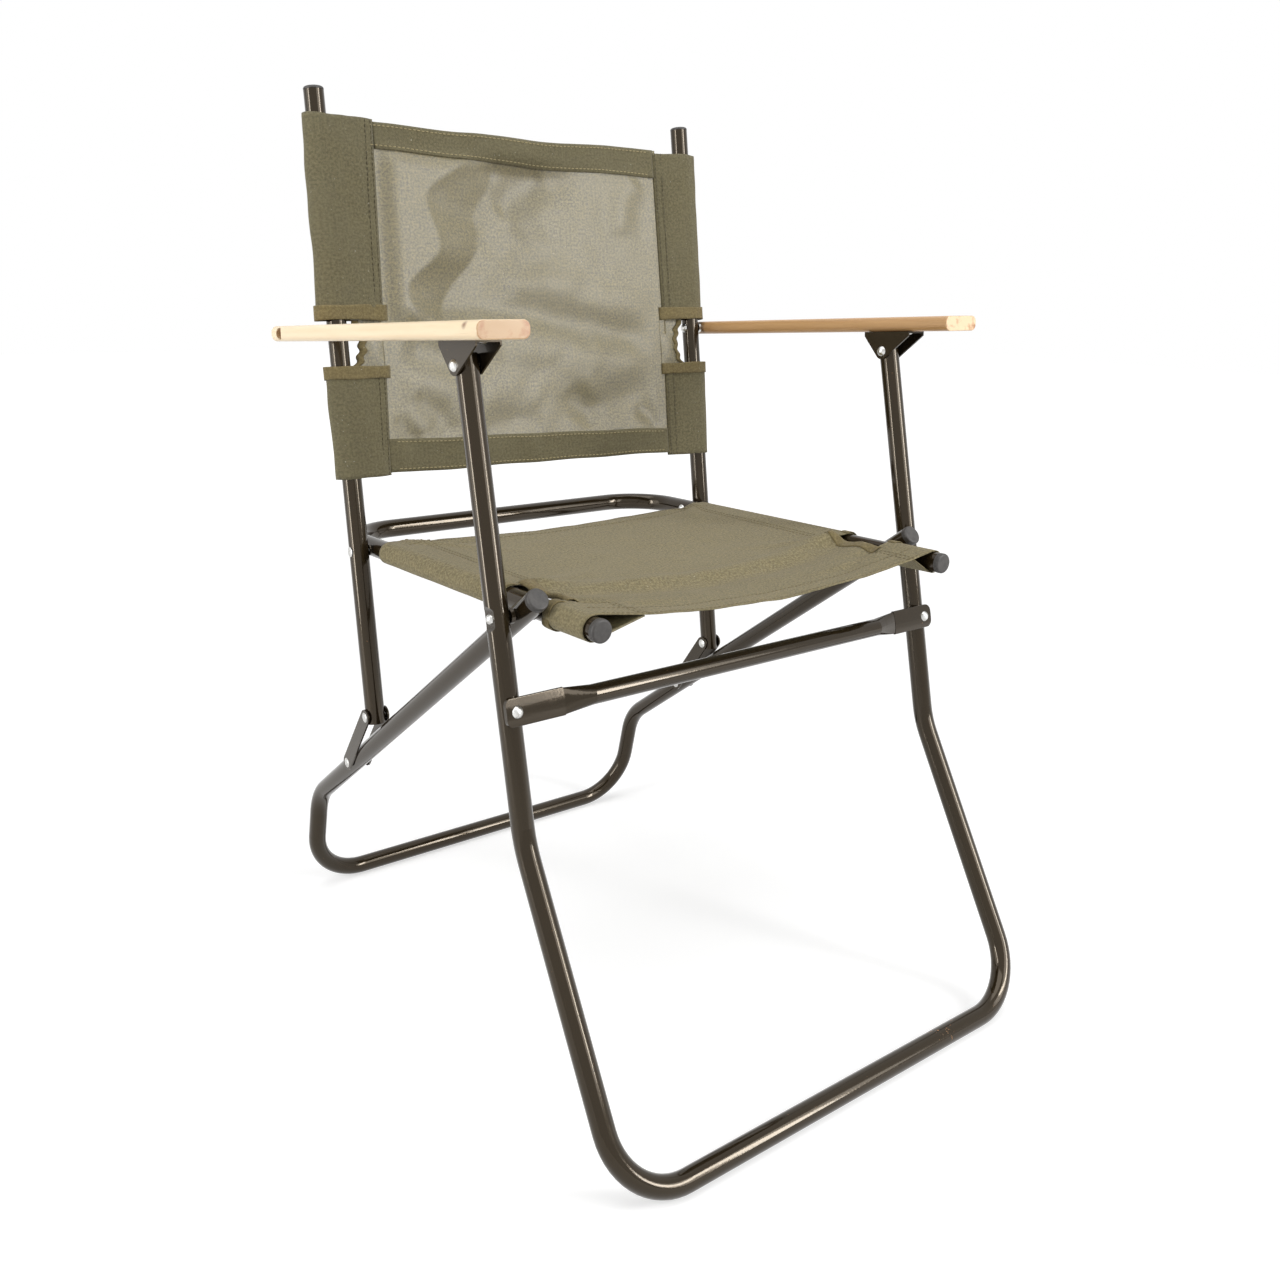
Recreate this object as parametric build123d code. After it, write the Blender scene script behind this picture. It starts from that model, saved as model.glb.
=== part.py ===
from build123d import *
import math
import os

# Folding camp chair. Millimetres, +Z up, the front of the chair faces -Y.
# The origin lies on the floor, midway between the two floor bars.

# Bent steel tube
tube_radius = 9.0
tube_wall = 1.2
brace_radius = 8.0
floor_corner_radius = 57.0
seat_corner_radius = 55.0
front_kink_radius = 90.0
rear_kink_radius = 60.0

# Sideways places of the three layers of tube on each side
seat_rail_x = 191.0
rail_gap = 1.5
leg_gap = 3.5
rear_leg_x = seat_rail_x + 2 * tube_radius + rail_gap
front_leg_x = rear_leg_x + 2 * tube_radius + leg_gap

# Side view of the linkage: (y, z) of every pivot in the open chair
pivot_main = (-126.4, 412.5)
pivot_seat_back = (153.0, 407.0)
pivot_arm_front = (-86.4, 594.7)
pivot_arm_rear = (181.5, 604.6)
pivot_link_top = (130.6, 251.3)
pivot_link_low = (174.6, 190.5)

# Side view of the tubes beyond their pivots
front_kink_drop = 172.5
front_bar_y = -296.4
rear_kink = (271.6, 118.9)
rear_bar_y = 296.4
rear_leg_tail = 23.0
front_leg_tail = 8.0
upright_top_z = 813.5
upright_tail = 7.0
seat_front_y = -197.0
seat_loop_y = 236.0

# Fits
run_fit = 0.06
set_fit = 0.03
free_gap = 0.4

# Pins and rivets
main_pin_radius = 2.2
bolt_radius = 2.5
rivet_radius = 2.5
head_factor = 1.9
head_height = 3.0
link_head_height = 1.1

# Pressed flat on the outside of each front leg, where the main pin's head sits
dimple_depth = 2.6
dimple_flat = 5.0
dimple_slope = 6.5

# Front brace with flattened ends
brace_drop = 70.0
paddle_width = 22.0
paddle_thickness = 4.0
paddle_crown = 1.1
paddle_length = 52.0
paddle_flare = 26.0
paddle_overhang = 9.5

# Armrests and their brackets
arm_width = 43.0
arm_thickness = 13.5
arm_washer_room = 3.5
arm_front_y = -158.0
arm_pivot_drop = 18.1
arm_rear_overhang = 17.0
arm_edge = 5.5
counterbore_radius = 5.2
counterbore_depth = 9.0
ear_thickness = 1.6
ear_front = 30.5
ear_rear = 22.5
ear_tip_radius = 7.5
screw_radius = 1.8
screw_depth = 9.0
screw_head_radius = 3.6
screw_head_height = 1.4

# Links between the uprights and the rear legs
link_width = 15.0
link_thickness = 1.6

# Push-in tube plugs
plug_depth = 14.0
plug_rim_radius = 9.1
plug_rim_height = 5.0
plug_edge = 1.8
upright_plug_height = 2.6

# Canvas
canvas_thickness = 1.1
canvas_ease = 0.3
seat_canvas_front_y = -192.0
seat_canvas_rear_y = 130.0
seat_sag = 14.0
notch_front = 24.0
notch_rear = 40.0
notch_inset = 26.0
notch_reach = 28.0
notch_cut = 60.0
back_canvas_low = 221.0
back_bare_top = 23.0
back_gap_low = 322.0
back_gap_high = 367.0
back_gap_inset = 3.0
back_gap_reach = 100.0
back_gap_cut = 80.0
back_seam_x = 163.0
back_seam_tip = 6.0
back_sag = 6.0


def unit(start, end):
    """Direction from one (y, z) point to another."""
    length = math.dist(start, end)
    return ((end[0] - start[0]) / length, (end[1] - start[1]) / length)


def along(start, direction, distance):
    """Point at a distance from a (y, z) point."""
    return (start[0] + direction[0] * distance, start[1] + direction[1] * distance)


def at(x, point):
    """Space point from a sideways place and a (y, z) point."""
    return Vector(x, point[0], point[1])


def bent_path(points, radii):
    """Polyline with a tangent arc at every inner point."""
    edges = []
    start = points[0]
    for before, corner, after, radius in zip(points, points[1:], points[2:], radii):
        inward = (corner - before).normalized()
        outward = (after - corner).normalized()
        half_turn = math.radians(inward.get_angle(outward)) / 2
        setback = radius * math.tan(half_turn)
        bend_start = corner - inward * setback
        bend_end = corner + outward * setback
        depth = radius / math.cos(half_turn) - radius
        bend_middle = corner + (outward - inward).normalized() * depth
        edges.append(Line(start, bend_start))
        edges.append(ThreePointArc(bend_start, bend_middle, bend_end))
        start = bend_end
    edges.append(Line(start, points[-1]))
    return Wire(edges)


def tube(path, radius):
    """Hollow round tube along a path."""
    section_plane = Plane(origin=path @ 0, z_dir=path % 0)
    ring = section_plane * (Circle(radius) - Circle(radius - tube_wall))
    return sweep(ring, path=path)


def rod(x_from, x_to, point, radius):
    """Round bar along X at a (y, z) point."""
    plane = Plane(origin=at(x_from, point), x_dir=(0, 1, 0), z_dir=(1, 0, 0))
    return extrude(plane * Circle(radius), x_to - x_from)


def washer(x_from, x_to, point, inner, outer):
    """Flat ring on an X axis."""
    return rod(x_from, x_to, point, outer) - rod(x_from, x_to, point, inner)


def domed_head(base, direction, radius, height):
    """Low round rivet head standing on its base point."""
    sphere_radius = (radius * radius + height * height) / (2 * height)
    plane = Plane(origin=base, z_dir=direction)
    ball = plane * (Pos(0, 0, height - sphere_radius) * Sphere(sphere_radius))
    slab = plane * Cylinder(radius, height, align=(Align.CENTER, Align.CENTER, Align.MIN))
    return ball & slab


def x_rivet(x_from, x_to, point, radius, inner_height, outer_height):
    """Rivet on a side of the chair: shank along X with a head at each end."""
    side = math.copysign(1, x_to - x_from)
    body = rod(min(x_from, x_to), max(x_from, x_to), point, radius)
    head_radius = radius * head_factor
    body += domed_head(at(x_from, point), (-side, 0, 0), head_radius, inner_height)
    body += domed_head(at(x_to, point), (side, 0, 0), head_radius, outer_height)
    return body


def plug(end, direction, rim_radius=plug_rim_radius, rim_height=plug_rim_height):
    """Push-in end plug: stem inside the tube and a rounded rim over its end."""
    plane = Plane(origin=end, z_dir=direction)
    rim = Pos(0, 0, free_gap / 2) * Cylinder(
        rim_radius, rim_height, align=(Align.CENTER, Align.CENTER, Align.MIN)
    )
    rim = fillet(rim.edges().group_by(Axis.Z)[-1], plug_edge)
    stem = Pos(0, 0, free_gap) * Cylinder(
        tube_radius - tube_wall - set_fit, plug_depth, align=(Align.CENTER, Align.CENTER, Align.MAX)
    )
    return plane * (rim + stem)


def group(solids):
    """Separate solids of one node."""
    return Compound(children=list(solids))


def save(shape, name):
    export_step(shape, f"parts/{name}.step")


os.makedirs("parts", exist_ok=True)

sides = {"left": -1, "right": 1}
tube_bore = tube_radius - tube_wall

# Directions of the straight runs
front_up = unit(pivot_main, pivot_arm_front)
seat_back_way = unit(pivot_main, pivot_seat_back)
upright_up = unit(pivot_link_top, pivot_arm_rear)
rear_down = unit(pivot_main, rear_kink)
front_kink = along(pivot_main, front_up, -front_kink_drop)
front_top = along(pivot_arm_front, front_up, front_leg_tail)
rear_top = along(pivot_main, rear_down, -rear_leg_tail)
upright_base = along(pivot_link_top, upright_up, -upright_tail)
upright_length = (upright_top_z - upright_base[1]) / upright_up[1]
upright_top = along(upright_base, upright_up, upright_length)


def on_seat(y):
    """Point on the seat rail line."""
    return along(pivot_main, seat_back_way, (y - pivot_main[0]) / seat_back_way[0])


# Layer faces
seat_inner = seat_rail_x - tube_radius
seat_outer = seat_rail_x + tube_radius
rear_inner = rear_leg_x - tube_radius
rear_outer = rear_leg_x + tube_radius
front_inner = front_leg_x - tube_radius
front_outer = front_leg_x + tube_radius
arm_inner_x = rear_outer + arm_washer_room
arm_outer_x = arm_inner_x + arm_width

# Front leg frame
front_points = [at(front_leg_x, front_top), at(front_leg_x, front_kink)]
front_points += [at(front_leg_x, (front_bar_y, tube_radius)), at(-front_leg_x, (front_bar_y, tube_radius))]
front_points += [at(-front_leg_x, front_kink), at(-front_leg_x, front_top)]
front_radii = [front_kink_radius, floor_corner_radius, floor_corner_radius, front_kink_radius]
front_leg_frame = tube(bent_path(front_points, front_radii), tube_radius)


def dimple_prism(side, inset):
    """Block that presses the tube wall in by the dimple's depth, plus an inset."""
    plane = Plane(
        origin=at(side * (front_outer - inset), pivot_main),
        x_dir=(0, *front_up),
        z_dir=(0, -front_up[1], front_up[0]),
    )
    outward = 1 if (plane.y_dir.X * side) > 0 else -1
    floor_y = -outward * dimple_depth
    brim_y = outward * dimple_depth / 10
    reach = dimple_flat + dimple_slope
    level = [(1, 0), (1, 0)]
    outline = [
        Spline((-reach, brim_y), (-dimple_flat, floor_y), tangents=level),
        Line((-dimple_flat, floor_y), (dimple_flat, floor_y)),
        Spline((dimple_flat, floor_y), (reach, brim_y), tangents=level),
        Line((reach, brim_y), (reach, -2 * floor_y)),
        Line((reach, -2 * floor_y), (-reach, -2 * floor_y)),
        Line((-reach, -2 * floor_y), (-reach, brim_y)),
    ]
    return extrude(plane * make_face(outline), tube_radius + 2, both=True)


for side in sides.values():
    leg_start = at(side * front_leg_x, along(pivot_main, front_up, -2 * dimple_flat - dimple_slope))
    leg_plane = Plane(origin=leg_start, z_dir=(0, *front_up))
    leg_core = extrude(leg_plane * Circle(tube_radius), 4 * dimple_flat + 2 * dimple_slope)
    pressed_wall = (leg_core - dimple_prism(side, 0)) & dimple_prism(side, tube_wall)
    front_leg_frame -= dimple_prism(side, 0)
    front_leg_frame += pressed_wall

brace_seat = along(pivot_main, front_up, -brace_drop)
front_normal = (-front_up[1], front_up[0])
brace_axis = along(brace_seat, front_normal, tube_radius + paddle_thickness / 2 + set_fit)
for side in sides.values():
    front_leg_frame -= rod(
        side * front_leg_x - 2 * tube_radius,
        side * front_leg_x + 2 * tube_radius,
        pivot_main,
        main_pin_radius + run_fit,
    )
    brace_hole = Plane(origin=at(side * front_leg_x, brace_seat), z_dir=(0, *front_normal))
    front_leg_frame -= extrude(brace_hole * Circle(rivet_radius + set_fit), tube_radius + 4)
save(front_leg_frame, "front_leg_frame")

# Front brace: tube pressed flat at both ends
brace_half = front_leg_x - paddle_length + paddle_overhang - paddle_flare
brace_line = Line(at(-brace_half, brace_axis), at(brace_half, brace_axis))
front_brace = tube(Wire([brace_line]), brace_radius)
half_wide = paddle_width / 2
half_thick = paddle_thickness / 2
edge_rise = half_thick - paddle_crown
paddle_section = make_face([
    Line((-half_wide, -half_thick), (half_wide, -half_thick)),
    Line((half_wide, -half_thick), (half_wide, edge_rise)),
    ThreePointArc((half_wide, edge_rise), (0, half_thick), (-half_wide, edge_rise)),
    Line((-half_wide, edge_rise), (-half_wide, -half_thick)),
])
paddle_section = fillet(paddle_section.vertices(), paddle_thickness * 0.22)
section_plane = Plane(origin=at(0, brace_axis), x_dir=(0, *front_up), z_dir=(1, 0, 0))
crowned_bar = extrude(section_plane * paddle_section, 2 * front_leg_x, both=True)
for side in sides.values():
    flare_plane = Plane(
        origin=at(side * brace_half, brace_axis), x_dir=(0, *front_up), z_dir=(side, 0, 0)
    )
    round_end = flare_plane * Circle(brace_radius)
    flat_plane = flare_plane.offset(paddle_flare)
    flat_end = flat_plane * Ellipse(half_wide * 0.95, half_thick * 0.88)
    flare = loft([round_end, flat_end])
    paddle_plane = Plane(
        origin=at(side * (brace_half + paddle_flare), brace_axis),
        x_dir=(side, 0, 0),
        z_dir=(0, *front_normal),
    )
    blade = Pos(paddle_length / 2, 0) * Rectangle(paddle_length, paddle_width)
    blade = fillet(blade.vertices().group_by(Axis.X)[-1], paddle_width * 0.27)
    paddle = extrude(paddle_plane * blade, paddle_thickness, both=True) & crowned_bar
    front_brace += flare
    front_brace += paddle
    paddle_hole = Plane(origin=at(side * front_leg_x, brace_axis), z_dir=(0, *front_normal))
    front_brace -= extrude(paddle_hole * Circle(rivet_radius + set_fit), 10, both=True)
save(front_brace, "front_brace")

brace_rivets = []
for side in sides.values():
    face = along(brace_axis, front_normal, paddle_thickness / 2)
    rivet = domed_head(
        at(side * front_leg_x, face), (0, *front_normal), rivet_radius * head_factor, head_height
    )
    shank_plane = Plane(origin=at(side * front_leg_x, face), z_dir=(0, -front_normal[0], -front_normal[1]))
    rivet += extrude(shank_plane * Circle(rivet_radius), paddle_thickness + tube_wall + 2)
    brace_rivets.append(rivet)
save(group(brace_rivets), "brace_rivets")

# Rear leg frame
rear_points = [at(rear_leg_x, rear_top), at(rear_leg_x, rear_kink)]
rear_points += [at(rear_leg_x, (rear_bar_y, tube_radius)), at(-rear_leg_x, (rear_bar_y, tube_radius))]
rear_points += [at(-rear_leg_x, rear_kink), at(-rear_leg_x, rear_top)]
rear_radii = [rear_kink_radius, floor_corner_radius, floor_corner_radius, rear_kink_radius]
rear_leg_frame = tube(bent_path(rear_points, rear_radii), tube_radius)
for side in sides.values():
    rear_leg_frame -= rod(
        side * rear_leg_x - 20, side * rear_leg_x + 20, pivot_main, main_pin_radius + run_fit
    )
save(rear_leg_frame, "rear_leg_frame")
rear_leg_caps = [
    plug(at(side * rear_leg_x, rear_top), (0, -rear_down[0], -rear_down[1])) for side in sides.values()
]
save(group(rear_leg_caps), "rear_leg_caps")

# Seat frame
seat_front = on_seat(seat_front_y)
seat_loop = on_seat(seat_loop_y)
seat_points = [at(seat_rail_x, seat_front), at(seat_rail_x, seat_loop)]
seat_points += [at(-seat_rail_x, seat_loop), at(-seat_rail_x, seat_front)]
seat_frame = tube(bent_path(seat_points, [seat_corner_radius] * 2), tube_radius)
for side in sides.values():
    rail = side * seat_rail_x
    seat_frame -= rod(rail - 20, rail + 20, pivot_main, main_pin_radius + set_fit)
    seat_frame -= rod(rail - 20, rail + 20, pivot_seat_back, bolt_radius + set_fit)
save(seat_frame, "seat_frame")
seat_rail_caps = [
    plug(at(side * seat_rail_x, seat_front), (0, -seat_back_way[0], -seat_back_way[1]))
    for side in sides.values()
]
save(group(seat_rail_caps), "seat_rail_caps")

# Pins of the main pivot and the seat-to-back pivot, with their washers
main_pins = []
main_washers = []
back_bolts = []
back_washers = []
for side in sides.values():
    main_pins.append(
        x_rivet(
            side * (seat_inner - free_gap / 4),
            side * (front_outer - dimple_depth + free_gap / 4),
            pivot_main,
            main_pin_radius,
            head_height,
            head_height,
        )
    )
    for face_a, face_b in ((seat_outer, rear_inner), (rear_outer, front_inner)):
        ends = sorted((side * (face_a + free_gap / 4), side * (face_b - free_gap / 4)))
        main_washers.append(washer(*ends, pivot_main, main_pin_radius + set_fit, main_pin_radius * 2.8))
    back_bolts.append(
        x_rivet(
            side * (seat_inner - free_gap / 4),
            side * (rear_outer + free_gap / 4),
            pivot_seat_back,
            bolt_radius,
            head_height,
            link_head_height,
        )
    )
    ends = sorted((side * (seat_outer + free_gap / 4), side * (rear_inner - free_gap / 4)))
    back_washers.append(washer(*ends, pivot_seat_back, bolt_radius + set_fit, bolt_radius * 2.2))
save(group(main_pins), "main_pivot_pins")
save(group(main_washers), "main_pivot_washers")
save(group(back_bolts), "seat_back_bolts")
save(group(back_washers), "seat_back_washers")

# Back uprights with top plugs, arm bolts and link rivets
upright_caps = []
arm_bolts = []
arm_washers = []
link_rivets = []
for name, side in sides.items():
    rail = side * rear_leg_x
    upright_line = Line(at(rail, upright_base), at(rail, upright_top))
    upright = tube(Wire([upright_line]), tube_radius)
    upright -= rod(rail - 20, rail + 20, pivot_seat_back, bolt_radius + run_fit)
    upright -= rod(rail - 20, rail + 20, pivot_arm_rear, bolt_radius + set_fit)
    upright -= rod(rail - 20, rail + 20, pivot_link_top, rivet_radius + set_fit)
    save(upright, f"back_upright_{name}")
    upright_caps.append(plug(at(rail, upright_top), (0, *upright_up), tube_radius, upright_plug_height))
    bolt_end = side * (arm_outer_x - counterbore_depth + free_gap / 2)
    arm_bolts.append(
        x_rivet(
            side * (rear_inner - free_gap / 4), bolt_end, pivot_arm_rear, bolt_radius, head_height, 2.0
        )
    )
    ends = sorted((side * (rear_outer + free_gap / 4), side * (arm_inner_x - free_gap)))
    arm_washers.append(washer(*ends, pivot_arm_rear, bolt_radius + set_fit, bolt_radius * 2.2))
    plate_reach = tube_radius + free_gap + link_thickness + free_gap / 4
    link_rivets.append(
        x_rivet(
            side * (rear_leg_x - plate_reach),
            side * (rear_leg_x + plate_reach),
            pivot_link_top,
            rivet_radius,
            link_head_height,
            link_head_height,
        )
    )
save(group(upright_caps), "back_upright_caps")
save(group(arm_bolts), "arm_rear_bolts")
save(group(arm_washers), "arm_rear_washers")
save(group(link_rivets), "link_upper_rivets")

# Links: a strip on each side of the upright and the rear leg
link_way = unit(pivot_link_top, pivot_link_low)
link_length = math.dist(pivot_link_top, pivot_link_low)
for name, side in sides.items():
    strips = []
    low_rivets = []
    for facing in (-1, 1):
        near = side * rear_leg_x + facing * (tube_radius + free_gap)
        far = near + facing * link_thickness
        plane = Plane(
            origin=at(min(near, far), pivot_link_top), x_dir=(0, *link_way), z_dir=(1, 0, 0)
        )
        outline = Pos(link_length / 2, 0) * SlotCenterToCenter(link_length, link_width)
        outline -= Circle(rivet_radius + run_fit)
        outline -= Pos(link_length, 0) * Circle(rivet_radius + set_fit)
        strips.append(extrude(plane * outline, link_thickness))
        shank = rod(min(near, far), max(near, far), pivot_link_low, rivet_radius)
        head = domed_head(
            at(far + facing * free_gap / 4, pivot_link_low),
            (facing, 0, 0),
            rivet_radius * head_factor,
            link_head_height,
        )
        neck = sorted((far, far + facing * free_gap / 4))
        low_rivets.append(shank + rod(*neck, pivot_link_low, rivet_radius) + head)
    save(group(strips), f"link_strips_{name}")
    save(group(low_rivets), f"link_lower_rivets_{name}")

# Armrests
over_pivot = (pivot_arm_front[0], pivot_arm_front[1] + arm_pivot_drop + arm_thickness / 2)
arm_way = unit(over_pivot, pivot_arm_rear)
arm_normal = (-arm_way[1], arm_way[0])
arm_reach = (pivot_arm_rear[0] - arm_front_y) / arm_way[0]
arm_length = arm_reach + arm_rear_overhang
arm_middle = along(pivot_arm_rear, arm_way, arm_rear_overhang - arm_length / 2)


def below_arm(y, depth):
    """Point a depth below the armrest's underside at a place along the chair."""
    point = along(pivot_arm_rear, arm_way, (y - pivot_arm_rear[0]) / arm_way[0])
    return along(point, arm_normal, -arm_thickness / 2 - depth)


for name, side in sides.items():
    center_x = side * (arm_outer_x + arm_inner_x) / 2
    arm_plane = Plane(origin=at(center_x, arm_middle), x_dir=(0, *arm_way), z_dir=(0, *arm_normal))
    armrest = Box(arm_length, arm_width, arm_thickness)
    armrest = fillet(armrest.edges().filter_by(Axis.X), arm_edge)
    armrest = fillet(armrest.edges().group_by(Axis.X)[0] + armrest.edges().group_by(Axis.X)[-1], 1.0)
    armrest = arm_plane * armrest
    bore_ends = sorted((side * (arm_inner_x - 1), side * (arm_outer_x + 1)))
    armrest -= rod(*bore_ends, pivot_arm_rear, bolt_radius + run_fit)
    sink_ends = sorted((side * (arm_outer_x - counterbore_depth), side * (arm_outer_x + 1)))
    armrest -= rod(*sink_ends, pivot_arm_rear, counterbore_radius)

    bracket_rear = pivot_arm_front[0] + ear_rear
    bracket_front = pivot_arm_front[0] - ear_front
    half_gap = tube_radius + free_gap
    half_width = half_gap + ear_thickness
    corners = [
        below_arm(bracket_front, set_fit),
        below_arm(bracket_rear, set_fit),
        below_arm(bracket_rear, set_fit + ear_thickness),
        below_arm(bracket_front, set_fit + ear_thickness),
    ]
    side_plane = Plane.YZ.offset(side * front_leg_x)
    crown = extrude(side_plane * Polygon(*corners, align=None), half_width, both=True)
    top_edge = [below_arm(bracket_front, set_fit), below_arm(bracket_rear, set_fit)]
    lower_edge = [below_arm(bracket_front, 4), below_arm(bracket_rear, 4)]
    ear_sketch = make_hull(
        [Line(top_edge[0], top_edge[1]), Line(lower_edge[0], lower_edge[1])]
        + (Pos(*pivot_arm_front) * Circle(ear_tip_radius)).edges()
    )
    bracket = crown
    for facing in (-1, 1):
        inner_face = side * front_leg_x + facing * half_gap
        base = min(inner_face, inner_face + facing * ear_thickness)
        ear_plane = Plane.YZ.offset(base)
        ear = extrude(ear_plane * ear_sketch, ear_thickness)
        bracket += ear
        bracket -= rod(base - 1, base + ear_thickness + 1, pivot_arm_front, rivet_radius + set_fit)

    screws = []
    for offset in (bracket_front + 8, bracket_rear - 8):
        foot = below_arm(offset, set_fit + ear_thickness + set_fit)
        axis_plane = Plane(origin=at(side * front_leg_x, foot), z_dir=(0, *arm_normal))
        hole = extrude(axis_plane * Circle(screw_radius + set_fit), screw_depth)
        armrest -= hole
        bracket -= hole
        shank = extrude(axis_plane * Circle(screw_radius), screw_depth - set_fit)
        head_axis = (0, -arm_normal[0], -arm_normal[1])
        head = domed_head(at(side * front_leg_x, foot), head_axis, screw_head_radius, screw_head_height)
        screws.append(shank + head)
    save(armrest, f"armrest_{name}")
    save(bracket, f"arm_bracket_{name}")
    save(group(screws), f"bracket_screws_{name}")

    front_rivets = []
    for facing in (-1, 1):
        inner_face = side * front_leg_x + facing * half_gap
        outer_face = inner_face + facing * (ear_thickness + free_gap / 4)
        shank = rod(min(inner_face, outer_face), max(inner_face, outer_face), pivot_arm_front, rivet_radius)
        head = domed_head(
            at(outer_face, pivot_arm_front), (facing, 0, 0), rivet_radius * head_factor, head_height
        )
        front_rivets.append(shank + head)
    save(group(front_rivets), f"arm_front_rivets_{name}")

# Canvas: one outline across the chair, drawn out along the rails
ring_inner = tube_radius + canvas_ease
ring_outer = ring_inner + canvas_thickness


def sagging_strip(half_span, top, sag):
    """Band of cloth between two points, hanging by its sag in the middle."""
    upper = ThreePointArc((-half_span, top), (0, top - sag), (half_span, top))
    low_top = top - canvas_thickness
    lower = ThreePointArc((half_span, low_top), (0, low_top - sag), (-half_span, low_top))
    ends = [Line((half_span, top), (half_span, low_top)), Line((-half_span, low_top), (-half_span, top))]
    return make_face([upper, ends[0], lower, ends[1]])


seat_section = sagging_strip(seat_rail_x, ring_outer, seat_sag)
for side in sides.values():
    rail_spot = Pos(side * seat_rail_x, 0)
    seat_section += rail_spot * Circle(ring_outer)
for side in sides.values():
    seat_section -= Pos(side * seat_rail_x, 0) * Circle(ring_inner)
canvas_front = on_seat(seat_canvas_front_y)
canvas_rear = on_seat(seat_canvas_rear_y)
seat_plane = Plane(origin=at(0, canvas_front), x_dir=(-1, 0, 0), z_dir=(0, *seat_back_way))
seat_canvas = extrude(seat_plane * seat_section, math.dist(canvas_front, canvas_rear))
for side in sides.values():
    notch_middle = pivot_main[0] + (notch_rear - notch_front) / 2
    notch_x = seat_rail_x + (notch_reach - notch_inset) / 2
    notch = Pos(side * notch_x, notch_middle, pivot_main[1]) * Box(
        notch_reach + notch_inset, notch_front + notch_rear, notch_cut
    )
    seat_canvas -= notch
save(seat_canvas, "seat_canvas")

back_section = sagging_strip(back_seam_x + 2, canvas_thickness / 2, -back_sag)
for side in sides.values():
    spot = Pos(side * rear_leg_x, 0)
    seam = Pos(side * back_seam_x, 0) * Circle(canvas_thickness)
    outer = make_hull((spot * Circle(ring_outer)).edges() + seam.edges())
    tip = Pos(side * (back_seam_x + back_seam_tip), 0) * Circle(canvas_thickness / 5.5)
    inner = make_hull((spot * Circle(ring_inner)).edges() + tip.edges())
    back_section += outer
    back_section -= inner
back_canvas_high = upright_length - upright_tail - back_bare_top
back_low = along(pivot_link_top, upright_up, back_canvas_low)
back_plane = Plane(origin=at(0, back_low), x_dir=(1, 0, 0), z_dir=(0, *upright_up))
back_canvas = extrude(back_plane * back_section, back_canvas_high - back_canvas_low)
for side in sides.values():
    gap_size = back_gap_high - back_gap_low
    gap_x = back_seam_x + back_gap_inset + back_gap_reach / 2
    gap = Pos(side * gap_x, 0, (back_gap_low + back_gap_high) / 2 - back_canvas_low)
    back_canvas -= back_plane * (gap * Box(back_gap_reach, back_gap_cut, gap_size))
save(back_canvas, "back_canvas")
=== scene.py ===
import math

import bmesh
import bpy
from mathutils import Euler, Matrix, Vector, noise


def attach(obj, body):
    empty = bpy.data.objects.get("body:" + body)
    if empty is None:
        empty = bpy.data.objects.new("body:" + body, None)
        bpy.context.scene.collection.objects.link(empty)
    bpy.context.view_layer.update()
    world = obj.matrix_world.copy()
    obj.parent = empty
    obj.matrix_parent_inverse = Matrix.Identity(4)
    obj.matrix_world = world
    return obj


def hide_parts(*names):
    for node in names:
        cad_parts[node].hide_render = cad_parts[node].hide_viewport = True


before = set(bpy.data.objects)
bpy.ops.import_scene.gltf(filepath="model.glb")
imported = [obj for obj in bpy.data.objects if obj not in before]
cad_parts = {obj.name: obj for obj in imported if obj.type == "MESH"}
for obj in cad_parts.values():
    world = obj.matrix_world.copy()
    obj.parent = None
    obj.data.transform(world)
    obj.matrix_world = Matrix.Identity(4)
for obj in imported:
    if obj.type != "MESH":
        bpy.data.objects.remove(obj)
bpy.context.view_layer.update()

# Sizes in metres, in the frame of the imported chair. The front of the chair faces -Y.
RAIL_X = 0.191
UPRIGHT_X = 0.2105
MAIN_PIVOT = (-0.1264, 0.4125)
SEAT_BACK_PIVOT = (0.153, 0.407)
UPRIGHT_FOOT = (0.1306, 0.2513)
ARM_PIVOT = (0.1815, 0.6046)
CLOTH = 0.0009
TAPE_CLOTH = 0.0007
THREAD_LIFT = CLOTH / 2 + 0.0002
SLEEVE_R = 0.00995
ARMREST_X = 0.2445
LEFT, RIGHT = -1, 1
SIDE_NAME = {LEFT: "left", RIGHT: "right"}

# Colours of small marks, and two that many nodes share
WHITE = (1, 1, 1, 1)
BLACK = (0, 0, 0, 1)
CHIP_BROWN = (0.23, 0.11, 0.045, 1)
PORE_BROWN = (0.36, 0.19, 0.08, 1)
KNOT_BROWN = (0.17, 0.07, 0.03, 1)
END_BROWN = (0.46, 0.21, 0.09, 1)
LINT_GREY = (0.55, 0.52, 0.42, 1)
# How much the coating of the cloth varies from thread to thread
COAT_FLECKS = 0.20

# Kinds of node socket
PLACE, NUMBER = "NodeSocketVector", "NodeSocketFloat"


# Node helpers


def feed(tree, node, values):
    """A link or a constant for each input, by its name or number."""
    for slot, value in values.items():
        if hasattr(value, "is_output"):
            tree.links.new(value, node.inputs[slot])
        else:
            node.inputs[slot].default_value = value


def tree_node(tree, kind, values=None, **settings):
    node = tree.nodes.new(kind)
    for key, value in settings.items():
        setattr(node, key, value)
    feed(tree, node, values or {})
    return node


def new_material(name):
    material = bpy.data.materials.new(name)
    material.use_nodes = True
    tree = material.node_tree
    return material, tree, tree.nodes["Principled BSDF"]


def object_place(tree):
    return tree_node(tree, "ShaderNodeTexCoord").outputs["Object"]


def ramp(tree, factor, low, high, low_color=BLACK, high_color=WHITE):
    """One colour up to the low value, another from the high value on, and a blend between them."""
    node = tree_node(tree, "ShaderNodeValToRGB", {"Fac": factor})
    for stop, place, color in zip(node.color_ramp.elements, (low, high), (low_color, high_color)):
        stop.position = place
        stop.color = color
    return node.outputs["Color"]


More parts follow.
